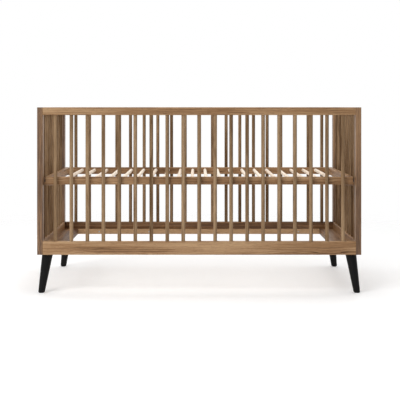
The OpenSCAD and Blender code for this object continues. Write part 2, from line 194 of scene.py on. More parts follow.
def bar_surface(low, high, axis, edge, end, steps, spans):
    """A rounded outline carried along a bar and drawn in by a quarter circle at both ends.

    At an end, for t from 90 to 0 degrees, the outline stands end (1 - sin t) from the end
    and is drawn in by end (1 - cos t). Returns points, normals, quads and the two end faces.
    """
    size = turned_size(high - low, axis)
    outline, outward = rounded_outline(size[0], size[1], edge, steps)
    t = np.linspace(np.pi / 2, 0, steps + 1)
    between = np.linspace(end, size[2] - end, spans + 1)[1:-1]
    along = np.concatenate([end * (1 - np.sin(t)), between, size[2] - end * (1 - np.sin(t[::-1]))])
    inset = np.concatenate([end * (1 - np.cos(t)), 0 * between, end * (1 - np.cos(t[::-1]))])
    lean = np.concatenate([-np.sin(t), 0 * between, np.sin(t[::-1])])
    side = np.sqrt(1 - lean ** 2)
    local = np.empty((len(along), len(outline), 3))
    local[..., :2] = outline[None] - inset[:, None, None] * outward[None]
    local[..., 2] = (along - size[2] / 2)[:, None]
    normal = np.empty_like(local)
    normal[..., :2] = side[:, None, None] * outward[None]
    normal[..., 2] = lean[:, None]
    count = len(outline)
    last = (len(along) - 1) * count
    caps = [list(range(count - 1, -1, -1)), list(range(last, last + count))]
    points = turned(local, axis).reshape(-1, 3) + (low + high) / 2
    return points, turned(normal, axis).reshape(-1, 3), grid_faces(len(along), count), caps


def turned_size(size, axis):
    """A box's size as width, height and length for a piece that lies along the given axis."""
    return size[[[1, 2, 0], [2, 0, 1], [0, 1, 2]][axis]]


def rod_surface(low, high, axis, sides, rings, bow, rng):
    """A round rod between two corners: radius (cos a, sin a), with its middle moved by bow sin(pi t).

    The bow's direction is drawn for each rod and dies out at both ends, where the rod sits in its holes.
    """
    size = turned_size(high - low, axis)
    radius = size[0] / 2
    a = np.linspace(0, 2 * np.pi, sides, endpoint=False)
    t = np.linspace(0, 1, rings)
    heading = rng.uniform(0, 2 * np.pi)
    sway = bow * np.sin(np.pi * t) * rng.uniform(0.3, 1)
    local = np.empty((rings, sides, 3))
    local[..., 0] = radius * np.cos(a)[None] + (sway * np.cos(heading))[:, None]
    local[..., 1] = radius * np.sin(a)[None] + (sway * np.sin(heading))[:, None]
    local[..., 2] = ((t - 0.5) * size[2])[:, None]
    last = (rings - 1) * sides
    caps = [list(range(sides - 1, -1, -1)), list(range(last, last + sides))]
    points = turned(local, axis).reshape(-1, 3) + (low + high) / 2
    return points, grid_faces(rings, sides), caps


def lofted_surface(centres, radii, sides):
    """Level circles one above the other, each centre + radius (cos a, sin a), joined into a tube."""
    a = np.linspace(0, 2 * np.pi, sides, endpoint=False)
    points = np.empty((len(centres), sides, 3))
    points[..., 0] = centres[:, 0, None] + radii[:, None] * np.cos(a)
    points[..., 1] = centres[:, 1, None] + radii[:, None] * np.sin(a)
    points[..., 2] = centres[:, 2, None]
    last = (len(centres) - 1) * sides
    caps = [list(range(sides - 1, -1, -1)), list(range(last, last + sides))]
    return points.reshape(-1, 3), grid_faces(len(centres), sides), caps


# ---------- meshes and pieces ----------


def grain_rows(points, axis, shift):
    """Place in the wood, along the fibres and two ways across, moved to the piece's spot in a log."""
    across = [i for i in range(3) if i != axis]
    return points[:, [axis] + across] + shift


def log_spot(rng):
    """Where a piece was sawn from: far along the trunk, and 25 to 90 mm from its middle."""
    angle = rng.uniform(0, 2 * np.pi)
    reach = rng.uniform(0.025, 0.09)
    return np.array([rng.uniform(0, 60), reach * np.cos(angle), reach * np.sin(angle)])


def store_attribute(mesh, name, kind, values):
    """Puts one value or row for each vertex on the mesh under a name that the materials read."""
    attribute = mesh.attributes.new(name, kind, "POINT")
    field = "vector" if kind == "FLOAT_VECTOR" else "value"
    attribute.data.foreach_set(field, np.asarray(values, np.float32).ravel())


def add_piece(name, mesh, material, body, nodes):
    """Links a mesh as a piece that rides on a body, takes a material slot and stands for CAD nodes."""
    piece = bpy.data.objects.new(name, mesh)
    bpy.context.scene.collection.objects.link(piece)
    mesh.materials.clear()
    mesh.materials.append(material)
    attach(piece, body)
    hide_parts(*nodes)
    return piece


def mesh_from(name, points, quads, caps, normals=None):
    """A mesh of quads and closing faces, smooth, with the surface's own normals where they are given."""
    mesh = bpy.data.meshes.new(name)
    mesh.from_pydata(points, [], quads.tolist() + [list(cap) for cap in caps])
    mesh.shade_smooth()
    if normals is None:
        mesh.set_sharp_from_angle(angle=TURNED_ANGLE)
    else:
        mesh.normals_split_custom_set_from_vertices(normals)
    return mesh


def joined(surfaces):
    """Several surfaces as one: their points, quads and caps, with the indices moved on."""
    points, quads, caps, offset = [], [], [], 0
    for own_points, own_quads, own_caps in surfaces:
        points.append(own_points)
        quads.append(own_quads + offset)
        caps += [[i + offset for i in cap] for cap in own_caps]
        offset += len(own_points)
    return np.concatenate(points), np.concatenate(quads), caps


def softened_copy(node, name):
    """A copy of a CAD node with its triangles joined into whole faces and its sharp edges ready to round.

    It keeps the bolt holes, nut holes and countersinks of the node.
    """
    solid = bmesh.new()
    solid.from_mesh(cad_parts[node].data)
    bmesh.ops.remove_doubles(solid, verts=solid.verts, dist=WELD_DISTANCE)
    bmesh.ops.dissolve_limit(solid, angle_limit=FLAT_ANGLE, verts=solid.verts, edges=solid.edges)
    mesh = bpy.data.meshes.new(name)
    solid.to_mesh(mesh)
    solid.free()
    mesh.shade_smooth()
    mesh.set_sharp_from_angle(angle=SHARP_ANGLE)
    return mesh


def round_edges(piece, width):
    """Rounds a piece's sharp edges with a live bevel."""
    bevel = piece.modifiers.new("Rounded edges", "BEVEL")
    bevel.width = width
    bevel.segments = 2
    bevel.limit_method = "ANGLE"
    bevel.angle_limit = SHARP_ANGLE
    bevel.use_clamp_overlap = False
    bevel.harden_normals = True


# ---------- node trees ----------


def add_node(tree, kind, inputs=None, **settings):
    """Adds a node, sets its settings, and sets or links its inputs by name or number."""
    node = tree.nodes.new(kind)
    for key, value in settings.items():
        setattr(node, key, value)
    for key, value in (inputs or {}).items():
        socket = node.inputs[key]
        if isinstance(value, bpy.types.NodeSocket):
            tree.links.new(value, socket)
        else:
            socket.default_value = value
    return node


def math_node(tree, operation, *values, clamp=False):
    """A Math node's result for one to three values or sockets."""
    node = add_node(tree, "ShaderNodeMath", dict(enumerate(values)), operation=operation, use_clamp=clamp)
    return node.outputs[0]


def blend_colours(tree, factor, first, second, blend="MIX"):
    """A Mix node's colour between two colours or sockets."""
    node = add_node(tree, "ShaderNodeMix", data_type="RGBA", blend_type=blend, clamp_factor=True)
    for index, value in ((0, factor), (6, first), (7, second)):
        if isinstance(value, bpy.types.NodeSocket):
            tree.links.new(value, node.inputs[index])
        else:
            node.inputs[index].default_value = value
    return node.outputs[2]


def ramp(tree, factor, low, high, to_low=0.0, to_high=1.0):
    """A smooth step from to_low to to_high while the factor goes from low to high."""
    inputs = {"Value": factor, "From Min": low, "From Max": high, "To Min": to_low, "To Max": to_high}
    return add_node(tree, "ShaderNodeMapRange", inputs, interpolation_type="SMOOTHSTEP").outputs[0]


def stretched_noise(tree, place, scales, detail=2.0, roughness=0.5):
    """Noise with its own scale along and across the fibres, in cells per metre."""
    cells = add_node(tree, "ShaderNodeVectorMath", {0: place, 1: scales}, operation="MULTIPLY")
    return add_node(tree, "ShaderNodeTexNoise", {
        "Vector": cells.outputs[0], "Scale": 1.0, "Detail": detail, "Roughness": roughness,
    }).outputs["Fac"]


def new_group(name, inputs, outputs):
    """An empty shader node group with named sockets, and its input and output nodes."""
    tree = bpy.data.node_groups.new(name, "ShaderNodeTree")
    kinds = {"VECTOR": "NodeSocketVector", "COLOR": "NodeSocketColor", "VALUE": "NodeSocketFloat"}
    for label, kind in inputs:
        tree.interface.new_socket(name=label, in_out="INPUT", socket_type=kinds[kind])
    for label, kind in outputs:
        tree.interface.new_socket(name=label, in_out="OUTPUT", socket_type=kinds[kind])
    return tree, tree.nodes.new("NodeGroupInput").outputs, tree.nodes.new("NodeGroupOutput").inputs


def sawn_grain_group():
    """Growth rings, fibres and pores of a sawn board.

    Place is metres along and across the fibres. Rings are circles round the trunk's middle, at the
    distance sqrt(a a + b b) moved by slow noise, cut into years of one ring's width. Each year has
    its own strength.
    """
    name = "Sawn grain"
    if name in bpy.data.node_groups:
        return bpy.data.node_groups[name]
    sockets_in = [("Place", "VECTOR"), ("Tone", "VALUE"), ("Ring width", "VALUE"), ("Figure", "VALUE"),
                  ("Pores", "VALUE"), ("Light", "COLOR"), ("Middle", "COLOR"), ("Dark", "COLOR")]
    sockets_out = [("Color", "COLOR"), ("Roughness", "VALUE"), ("Height", "VALUE")]
    tree, given, result = new_group(name, sockets_in, sockets_out)
    place = given["Place"]
    across = add_node(tree, "ShaderNodeVectorMath", {0: place, 1: (0, 1, 1)}, operation="MULTIPLY")
    reach = add_node(tree, "ShaderNodeVectorMath", {0: across.outputs[0]}, operation="LENGTH")
    wander = stretched_noise(tree, place, GRAIN_CELLS["wander"], 2.0)
    crowding = stretched_noise(tree, place, GRAIN_CELLS["crowding"], 1.0)
    moved = math_node(tree, "MULTIPLY_ADD", wander, RING_WANDER, reach.outputs["Value"])
    moved = math_node(tree, "MULTIPLY_ADD", crowding, RING_CROWDING, moved)
    count = math_node(tree, "DIVIDE", moved, given["Ring width"])
    year = math_node(tree, "FRACT", count)
    growing, resting = ramp(tree, year, 0.2, 0.86), ramp(tree, year, 0.9, 1.0, 1.0, 0.0)
    late = math_node(tree, "MULTIPLY", growing, resting)
    number = math_node(tree, "FLOOR", count)
    draw = add_node(tree, "ShaderNodeTexWhiteNoise", {"W": number}, noise_dimensions="1D")
    strength = math_node(tree, "MULTIPLY_ADD", draw.outputs["Value"], 1 - FAINTEST_RING, FAINTEST_RING)
    late = math_node(tree, "MULTIPLY", late, strength)
    broad = stretched_noise(tree, place, GRAIN_CELLS["broad"], 3.0)
    fibre = stretched_noise(tree, place, GRAIN_CELLS["fibre"], 3.0, 0.6)
    pore = ramp(tree, stretched_noise(tree, place, GRAIN_CELLS["pore"], 1.0), 0.58, 0.68)
    pore = math_node(tree, "MULTIPLY", pore, given["Pores"])
    shade = math_node(tree, "MULTIPLY_ADD", late, given["Figure"], given["Tone"])
    for noise, share in ((broad, BROAD_SHARE), (fibre, FIBRE_SHARE)):
        shade = math_node(tree, "ADD", shade, math_node(tree, "MULTIPLY_ADD", noise, share, -share / 2))
    lower = blend_colours(tree, ramp(tree, shade, 0.0, 0.55), given["Light"], given["Middle"])
    colour = blend_colours(tree, ramp(tree, shade, 0.45, 1.15), lower, given["Dark"])
    deep = blend_colours(tree, 1.0, colour, (0.38, 0.33, 0.30, 1), "MULTIPLY")
    colour = blend_colours(tree, math_node(tree, "MULTIPLY", pore, 0.75), colour, deep)
    rough = math_node(tree, "MULTIPLY_ADD", fibre, 0.16, 0.36)
    rough = math_node(tree, "MULTIPLY_ADD", pore, 0.2, rough, clamp=True)
    height = math_node(tree, "MULTIPLY_ADD", fibre, 0.35, math_node(tree, "MULTIPLY", late, -0.12))
    height = math_node(tree, "SUBTRACT", height, pore)
    tree.links.new(colour, result["Color"])
    tree.links.new(rough, result["Roughness"])
    tree.links.new(height, result["Height"])
    return tree


def speckle_group():
    """Fine unevenness of paint, plastic and plated steel: a cloud for gloss and small bumps for height."""
    name = "Fine unevenness"
    if name in bpy.data.node_groups:
        return bpy.data.node_groups[name]
    sockets_in = [("Place", "VECTOR"), ("Cells per metre", "VALUE"), ("Roughness", "VALUE"),
                  ("Spread", "VALUE")]
    sockets_out = [("Cloud", "VALUE"), ("Roughness", "VALUE"), ("Height", "VALUE")]
    tree, given, result = new_group(name, sockets_in, sockets_out)
    wide = add_node(tree, "ShaderNodeTexNoise", {"Vector": given["Place"], "Scale": 45.0, "Detail": 3.0})
    inputs = {"Vector": given["Place"], "Scale": given["Cells per metre"], "Detail": 2.0}
    fine = add_node(tree, "ShaderNodeTexNoise", inputs)
    cloud = wide.outputs["Fac"]
    drift = math_node(tree, "MULTIPLY", math_node(tree, "SUBTRACT", cloud, 0.5), given["Spread"])
    tree.links.new(cloud, result["Cloud"])
    tree.links.new(math_node(tree, "ADD", given["Roughness"], drift, clamp=True), result["Roughness"])
    tree.links.new(fine.outputs["Fac"], result["Height"])
    return tree


def add_group(tree, group, inputs):
    """Places a node group and sets or links its inputs."""
    node = tree.nodes.new("ShaderNodeGroup")
    node.node_tree = group
    for key, value in inputs.items():
        if isinstance(value, bpy.types.NodeSocket):
            tree.links.new(value, node.inputs[key])
        else:
            node.inputs[key].default_value = value
    return node.outputs


def made_material(slot):
    """The finished material of a slot if an earlier step has made it."""
    return bpy.data.materials.get(f"{slot} finish")


def new_material(slot):
    """An empty node material with its Principled shader linked to its output."""
    material = bpy.data.materials.new(f"{slot} finish")
    material.use_nodes = True
    tree = material.node_tree
    tree.nodes.clear()
    shader = tree.nodes.new("ShaderNodeBsdfPrincipled")
    output = tree.nodes.new("ShaderNodeOutputMaterial")
    tree.links.new(shader.outputs[0], output.inputs[0])
    return material, tree, shader


def bump(tree, height, depth):
    """A Bump node's normal for a height, with its depth in metres."""
    inputs = {"Height": height, "Distance": depth, "Strength": 1.0}
    return add_node(tree, "ShaderNodeBump", inputs).outputs[0]


def opaque(colour):
    """A colour property as four values."""
    return (*colour, 1.0)


# ---------- materials ----------


def wood(name, colours, sheen, ring=0.0042, figure=0.62, pores=0.8):
    """Wood whose three colours run from light to dark with the grain that its pieces carry."""
    if made_material(name):
        return made_material(name)
    material, tree, shader = new_material(name)
    place = add_node(tree, "ShaderNodeAttribute", attribute_name="grain").outputs["Vector"]
    tone = add_node(tree, "ShaderNodeAttribute", attribute_name="tone").outputs["Fac"]
    light, middle, dark = (opaque(colour) for colour in colours)
    grain = add_group(tree, sawn_grain_group(), {
        "Place": place, "Tone": tone, "Ring width": ring, "Figure": figure, "Pores": pores,
        "Light": light, "Middle": middle, "Dark": dark})
    tree.links.new(grain["Color"], shader.inputs["Base Color"])
    tree.links.new(grain["Roughness"], shader.inputs["Roughness"])
    tree.links.new(bump(tree, grain["Height"], 0.00012), shader.inputs["Normal"])
    shader.inputs["Specular IOR Level"].default_value = sheen
    return material


def stained_wood(slot):
    """The walnut-brown stain of the posts, rails and boards."""
    finish = bpy.context.scene.cot_finish
    colours = (finish.stain_light, finish.stain_middle, finish.stain_dark)
    return wood(slot, colours, SHEEN.get(slot, BOARD_SHEEN))


def stained_slat_wood():
    """The same stain on the turned slats, greyer and with a calmer figure."""
    finish = bpy.context.scene.cot_finish
    colours = (finish.slat_light, finish.slat_middle, finish.slat_dark)
    return wood("stained_slats", colours, SHEEN["stained_slats"], figure=0.3)


def pale_wood():
    """Clear-lacquered pale wood of the base slats."""
    finish = bpy.context.scene.cot_finish
    colours = (finish.pale_light, finish.pale_middle, finish.pale_dark)
    return wood("natural_slats", colours, 0.15, ring=0.003, figure=0.3, pores=0.35)


def plain_material(name, colour, metallic, roughness, spread, cells, depth):
    """A painted, moulded or plated surface with a cloudy gloss and fine bumps, by Object coordinates."""
    if made_material(name):
        return made_material(name)
    material, tree, shader = new_material(name)
    place = add_node(tree, "ShaderNodeTexCoord").outputs["Object"]
    uneven = add_group(tree, speckle_group(), {
        "Place": place, "Cells per metre": cells, "Roughness": roughness, "Spread": spread})
    darker = tuple(c * 0.82 for c in colour)
    base = blend_colours(tree, ramp(tree, uneven["Cloud"], 0.3, 0.7), opaque(darker), opaque(colour))
    tree.links.new(base, shader.inputs["Base Color"])
    tree.links.new(uneven["Roughness"], shader.inputs["Roughness"])
    tree.links.new(bump(tree, uneven["Height"], depth), shader.inputs["Normal"])
    shader.inputs["Metallic"].default_value = metallic
    return material


def black_paint():
    """Satin black paint through which the leg's grain just shows."""
    name = "black_legs"
    if made_material(name):
        return made_material(name)
    finish = bpy.context.scene.cot_finish
    material, tree, shader = new_material(name)
    place = add_node(tree, "ShaderNodeAttribute", attribute_name="grain").outputs["Vector"]
    black = opaque(finish.paint)
    grain = add_group(tree, sawn_grain_group(), {
        "Place": place, "Tone": 0.3, "Ring width": 0.004, "Figure": 0.4, "Pores": 0.6,
        "Light": opaque(tuple(c * 1.35 for c in finish.paint)), "Middle": black, "Dark": black})
    tree.links.new(grain["Color"], shader.inputs["Base Color"])
    tree.links.new(grain["Roughness"], shader.inputs["Roughness"])
    tree.links.new(bump(tree, grain["Height"], 0.00005), shader.inputs["Normal"])
    shader.inputs["Specular IOR Level"].default_value = 0.15
    return material


def zinc():
    """Zinc-plated steel of the bolts, nuts and screws."""
    return plain_material("zinc_steel", bpy.context.scene.cot_finish.zinc, metallic=1.0, roughness=0.34,
                          spread=0.3, cells=2600.0, depth=0.00001)


def black_oxide():
    """Blackened steel of the nuts that hold the brackets, kept this dark also as painted shade for the gap
    beside each post where a nut shows.
    """
    return plain_material("black_steel", bpy.context.scene.cot_finish.oxide, metallic=0.6, roughness=0.5,
                          spread=0.2, cells=2600.0, depth=0.00001)


def powder_coat():
    """Brown powder coat of the brackets, with a slight orange peel."""
    return plain_material("brown_steel", bpy.context.scene.cot_finish.powder, metallic=0.0, roughness=0.5,
                          spread=0.15, cells=1500.0, depth=0.00003)


def moulded_plastic():
    """Dark grey plastic of the floor glides."""
    return plain_material("glide_plastic", bpy.context.scene.cot_finish.plastic, metallic=0.0,
                          roughness=0.55, spread=0.1, cells=2200.0, depth=0.00002)


def raw_beech():
    """Unfinished beech of the dowels, by Object coordinates because they keep the frame's own meshes."""
    return plain_material("beech", bpy.context.scene.cot_finish.beech, metallic=0.0, roughness=0.7,
                          spread=0.1, cells=900.0, depth=0.00004)


# ---------- settings ----------


def srgb(r, g, b):
    """An eight-bit screen colour as linear light."""
    value = np.array([r, g, b]) / 255
    return tuple(np.where(value <= 0.04045, value / 12.92, ((value + 0.055) / 1.055) ** 2.4).tolist())


def colour_property(name, description, rgb):
    """A colour picker that starts at a screen colour."""
    return FloatVectorProperty(name=name, description=description, subtype="COLOR", size=3,
                               min=0.0, max=1.0, default=srgb(*rgb))


def length_property(name, description, default):
    """A length in metres."""
    return FloatProperty(name=name, description=description, unit="LENGTH", subtype="DISTANCE",
                         min=0.0, default=default)


class CotFinish(PropertyGroup):
    """Colours of the finishes."""

    stain_light: colour_property("Stain, light", "Stain where the wood is palest", (188, 153, 115))
    stain_middle: colour_property("Stain, middle", "Stain over most of the wood", (157, 119, 82))
    stain_dark: colour_property("Stain, dark", "Stain in the late wood of a ring", (92, 62, 37))
    slat_light: colour_property("Slat stain, light", "Panel slats where they are palest", (190, 161, 128))
    slat_middle: colour_property("Slat stain, middle", "Panel slats over most of their length",
                                 (158, 130, 99))
    slat_dark: colour_property("Slat stain, dark", "Panel slats in the late wood", (96, 71, 46))
    pale_light: colour_property("Pale wood, light", "Base slats where they are palest", (252, 238, 220))
    pale_middle: colour_property("Pale wood, middle", "Base slats over most of their length",
                                 (244, 224, 202))
    pale_dark: colour_property("Pale wood, dark", "Base slats in the late wood", (214, 184, 152))
    paint: colour_property("Black paint", "Paint of the legs", (15, 15, 15))
    powder: colour_property("Powder coat", "Coat of the base brackets", (140, 112, 88))
    zinc: colour_property("Zinc", "Plating of bolts, nuts and screws", (196, 196, 192))
    # The oxide colour is a real blackened finish that also serves as painted shade in the gap beside each
    # post.
    oxide: colour_property("Black oxide", "Blackened steel of the base nuts", (34, 32, 31))
    plastic: colour_property("Glide plastic", "Plastic of the floor glides", (60, 60, 60))
    beech: colour_property("Beech", "Unfinished wood of the dowels", (214, 182, 142))


class CotShape(PropertyGroup):
    """Sizes of the rounding and of the meshes."""

    edge: length_property("Edge radius", "Rounding of the long edges of new rails", 0.0025)
    end: length_property("End radius", "Rounding at the ends of new rails", 0.0008)
    soft: length_property("Wood arris", "Rounding of sharp edges on copied wooden pieces", 0.0008)
    steel_soft: length_property("Steel arris", "Rounding of sharp edges on steel pieces", 0.0004)
    bow: length_property("Slat bow", "How far a round slat strays from straight", 0.0004)
    foot: length_property("Foot radius", "Rounding round the foot of a leg", 0.002)
    sides: IntProperty(name="Slat sides", description="Faces round a slat", default=28, min=8)


class CotStudio(PropertyGroup):
    """The camera and the light."""

    distance: length_property("Camera distance", "From the cot's front face to the camera", 4.3025)
    height: length_property("Camera height", "Of the camera over the floor", 0.838)
    aside: FloatProperty(name="Camera aside", description="Camera's place along the cot", unit="LENGTH",
                         default=-0.0117)
    lens: FloatProperty(name="Lens", description="Focal length in millimetres", subtype="DISTANCE_CAMERA",
                        default=86.34)
    shift_x: FloatProperty(name="Shift across", description="Lens shift across the frame", default=0.0085)
    shift_y: FloatProperty(name="Shift down", description="Lens shift along the frame's height",
                           default=-0.2334)
    sky: FloatProperty(name="Sky", description="Strength of the white surroundings", default=0.4, min=0.0)
    backdrop: FloatProperty(name="Backdrop", description="Strength of the surroundings behind the cot",
                            default=1.1, min=0.0)
    key: FloatProperty(name="Key light", description="Power of the large front light", subtype="POWER",
                       default=118.0, min=0.0)
    overhead: FloatProperty(name="Overhead light", description="Power of the light over the cot",
                            subtype="POWER", default=42.0, min=0.0)


# ---------- stage ----------


def add_camera(studio):
    """A level camera in front of the cot, shifted to frame it."""
    data = bpy.data.cameras.new("Camera")
    data.lens = studio.lens
    data.sensor_width = 36.0
    data.shift_x = studio.shift_x
    data.shift_y = studio.shift_y
    data.clip_end = 200.0
    camera = bpy.data.objects.new("Camera", data)
    camera.location = (studio.aside, CAD_BOX[0][1] - studio.distance, studio.height)
    camera.rotation_euler = (math.radians(90), 0, 0)
    bpy.context.scene.collection.objects.link(camera)
    bpy.context.scene.camera = camera


def add_area_light(name, place, aim, size, power):
    """A square soft light at a place, turned to a point."""
    data = bpy.data.lights.new(name, "AREA")
    data.size = size
    data.energy = power
    light = bpy.data.objects.new(name, data)
    direction = np.array(aim, float) - np.array(place, float)
    light.location = place
    level = math.hypot(direction[0], direction[1])
    light.rotation_euler = (math.atan2(level, -direction[2]), 0, math.atan2(-direction[0], direction[1]))
    bpy.context.scene.collection.objects.link(light)


def add_surroundings(studio):
    """White surroundings: plain white to the eye, and weaker as light."""
    world = bpy.data.worlds.new("White surroundings")
    world.use_nodes = True
    tree = world.node_tree
    tree.nodes.clear()
    seen = tree.nodes.new("ShaderNodeLightPath").outputs["Is Camera Ray"]
    heading = add_node(tree, "ShaderNodeTexCoord").outputs["Generated"]
    behind = add_node(tree, "ShaderNodeSeparateXYZ", {0: heading}).outputs["Y"]
    light = ramp(tree, behind, -0.2, 0.7, studio.sky, studio.backdrop)
    strength = add_node(tree, "ShaderNodeMapRange", {"Value": seen, "To Min": light, "To Max": 1.0})
    shine = add_node(tree, "ShaderNodeBackground", {"Color": (1, 1, 1, 1), "Strength": strength.outputs[0]})
    output = tree.nodes.new("ShaderNodeOutputWorld")
    tree.links.new(shine.outputs[0], output.inputs[0])
    bpy.context.scene.world = world


def floor_material():
    """Matte white that clears away with the distance from the cot, so that no horizon shows."""
    material, tree, shader = new_material("Studio floor")
    place = add_node(tree, "ShaderNodeTexCoord").outputs["Object"]
    reach = add_node(tree, "ShaderNodeVectorMath", {0: place}, operation="LENGTH").outputs["Value"]
    shader.inputs["Base Color"].default_value = (0.93, 0.93, 0.93, 1)
    shader.inputs["Roughness"].default_value = 0.9
    shader.inputs["Emission Color"].default_value = (1, 1, 1, 1)
    seen = tree.nodes.new("ShaderNodeLightPath").outputs["Is Camera Ray"]
    tree.links.new(math_node(tree, "MULTIPLY", seen, FLOOR_GLOW), shader.inputs["Emission Strength"])
    tree.links.new(ramp(tree, reach, *FLOOR_CLEARS, 1.0, 0.0), shader.inputs["Alpha"])
    return material


def add_floor():
    """A flat disc: radius times (cos a, sin a), ring by ring out to four metres."""
    radii = np.linspace(FLOOR_HUB, FLOOR_REACH, 24)
    a = np.linspace(0, 2 * np.pi, 96, endpoint=False)
    points = np.zeros((len(radii), len(a), 3))
    points[..., 0] = radii[:, None] * np.cos(a)
    points[..., 1] = radii[:, None] * np.sin(a)
    mesh = bpy.data.meshes.new("Floor")
    quads = grid_faces(len(radii), len(a))[:, ::-1]
    mesh.from_pydata(points.reshape(-1, 3), [], quads.tolist() + [list(range(len(a)))])
    mesh.materials.append(floor_material())
    floor = bpy.data.objects.new("Floor", mesh)
    bpy.context.scene.collection.objects.link(floor)


class COT_OT_stage(Operator):
    """Floor, white surroundings, soft lights and the camera"""

    bl_idname = "cot.stage"
    bl_label = "Stage"

    def execute(self, context):
        studio = context.scene.cot_studio
        add_floor()
        add_surroundings(studio)
        add_area_light("Key", KEY_PLACE, LIGHT_AIM, KEY_SIZE, studio.key)
        add_area_light("Overhead", OVERHEAD_PLACE, LIGHT_AIM, OVERHEAD_SIZE, studio.overhead)
        add_camera(studio)
        context.scene.view_settings.view_transform = "Standard"
        return {"FINISHED"}


# ---------- wooden pieces ----------


def store_wood(mesh, places, axis, tone, rng):
    """Gives a mesh one tone and the grain of its own spot in a log, from its places round its middle."""
    store_attribute(mesh, "grain", "FLOAT_VECTOR", grain_rows(places, axis, log_spot(rng)))
    tones = np.full(len(places), tone + rng.uniform(-BOARD_SPREAD, BOARD_SPREAD))
    store_attribute(mesh, "tone", "FLOAT", tones)


def wooden_copy(node, axis, slot, body, tone, seed):
    """A piece of stained wood with the shape and holes of a CAD node, and rounded arrises."""
    shape = bpy.context.scene.cot_shape
    rng = np.random.default_rng(seed)
    mesh = softened_copy(node, f"{node}_wood")
    points = np.empty(len(mesh.vertices) * 3, np.float32)
    mesh.vertices.foreach_get("co", points)
    points = points.reshape(-1, 3)
    middle = (points.min(0) + points.max(0)) / 2
    store_wood(mesh, points - middle, axis, tone, rng)
    piece = add_piece(f"{node}_wood", mesh, stained_wood(slot), body, [node])
    round_edges(piece, shape.soft)


def wooden_bar(node, axis, slot, body, tone, seed):
    """A piece of stained wood as long, wide and high as a CAD node, with rounded edges and ends."""
    shape = bpy.context.scene.cot_shape
    rng = np.random.default_rng(seed)
    low, high = node_box(node)
    spans = max(4, int((high - low)[axis] / BAR_SPAN))
    points, normals, quads, caps = bar_surface(low, high, axis, shape.edge, shape.end, ARC_STEPS, spans)
    mesh = mesh_from(f"{node}_wood", points, quads, caps, normals)
    store_wood(mesh, points - (low + high) / 2, axis, tone, rng)
    add_piece(f"{node}_wood", mesh, stained_wood(slot), body, [node])


def rod_group(node, axis, across, material, body, tone, spread, seed):
    """All the round slats of a CAD group, each with its own bow, grain and tone."""
    shape = bpy.context.scene.cot_shape
    rng = np.random.default_rng(seed)
    low, high = node_box(node)
    other = 3 - axis - across
    half = (high - low)[other] / 2
    rings = max(6, int((high - low)[axis] / ROD_SPAN))
    surfaces, places, tones = [], [], []
    for middle in rod_centres(node, across):
        rod_low, rod_high = low.copy(), high.copy()
        rod_low[across], rod_high[across] = middle - half, middle + half
        surface = rod_surface(rod_low, rod_high, axis, shape.sides, rings, shape.bow, rng)
        surfaces.append(surface)
        places.append(grain_rows(surface[0] - (rod_low + rod_high) / 2, axis, log_spot(rng)))
        tones.append(np.full(len(surface[0]), tone + rng.uniform(-spread, spread)))
    points, quads, caps = joined(surfaces)
    mesh = mesh_from(f"{node}_rods", points, quads, caps)
    store_attribute(mesh, "grain", "FLOAT_VECTOR", np.concatenate(places))
    store_attribute(mesh, "tone", "FLOAT", np.concatenate(tones))
    add_piece(f"{node}_rods", mesh, material, body, [node])


class COT_OT_posts(Operator):
    """Four corner posts with their bolt holes"""

    bl_idname = "cot.posts"
    bl_label = "Corner posts"

    def execute(self, context):
        for index, corner in enumerate(CORNERS):
            wooden_copy(f"{corner}_post", 2, "stained_posts", BODY, TONES_AND_PAINTED_LIGHT["posts"], seed=10 + index)
        return {"FINISHED"}


class COT_OT_side_rails(Operator):
    """Top and bottom rails of the two long sides"""

    bl_idname = "cot.side_rails"
    bl_label = "Side rails"

    def execute(self, context):
        for index, side in enumerate(SIDES):
            wooden_copy(f"{side}_top_rail", 0, "stained_rails", BODY, TONES_AND_PAINTED_LIGHT["top rails"], seed=20 + index)
        for index, side in enumerate(SIDES):
            # The rear bottom rail's darker tone is painted shade.
            tone = TONES_AND_PAINTED_LIGHT[f"{side} bottom rail"]
            wooden_copy(f"{side}_bottom_rail", 0, "stained_rails", BODY, tone, seed=24 + index)
        return {"FINISHED"}


class COT_OT_end_rails(Operator):
    """Top and bottom rails of the two ends"""

    bl_idname = "cot.end_rails"
    bl_label = "End rails"

    def execute(self, context):
        for index, end in enumerate(ENDS):
            tone = TONES_AND_PAINTED_LIGHT["end rails"]
            wooden_bar(f"{end}_top_rail", 1, "stained_rails", BODY, tone, seed=30 + index)
            wooden_bar(f"{end}_bottom_rail", 1, "stained_rails", BODY, tone, seed=34 + index)
        return {"FINISHED"}


class COT_OT_panel_slats(Operator):
    """Upright round slats of the sides and ends"""

    bl_idname = "cot.panel_slats"
    bl_label = "Panel slats"

    def execute(self, context):
        for index, side in enumerate(SIDES):
            # The rear slats' darker tone is painted shade.
            rod_group(f"{side}_slats", 2, 0, stained_slat_wood(), BODY,
                      TONES_AND_PAINTED_LIGHT[f"{side} slats"], SIDE_SLAT_SPREAD, seed=40 + index)
        for index, end in enumerate(ENDS):
            # The end slats' darker tone is painted shade.
            rod_group(f"{end}_slats", 2, 1, stained_slat_wood(), BODY,
                      TONES_AND_PAINTED_LIGHT["end slats"], END_SLAT_SPREAD, seed=44 + index)
        return {"FINISHED"}


class COT_OT_floor_boards(Operator):
    """End boards that carry the legs, and the battens between them"""

    bl_idname = "cot.floor_boards"
    bl_label = "Floor boards"

    def execute(self, context):
        for index, end in enumerate(ENDS):
            # The end boards' darker tone is painted shade.
            tone = TONES_AND_PAINTED_LIGHT["end boards"]
            wooden_copy(f"{end}_end_board", 1, "stained_boards", BODY, tone, seed=50 + index)
        for index, side in enumerate(SIDES):
            # The battens' lighter tone is painted light.
            wooden_copy(f"{side}_batten", 0, "stained_boards", BODY, TONES_AND_PAINTED_LIGHT["battens"], seed=54 + index)
        return {"FINISHED"}


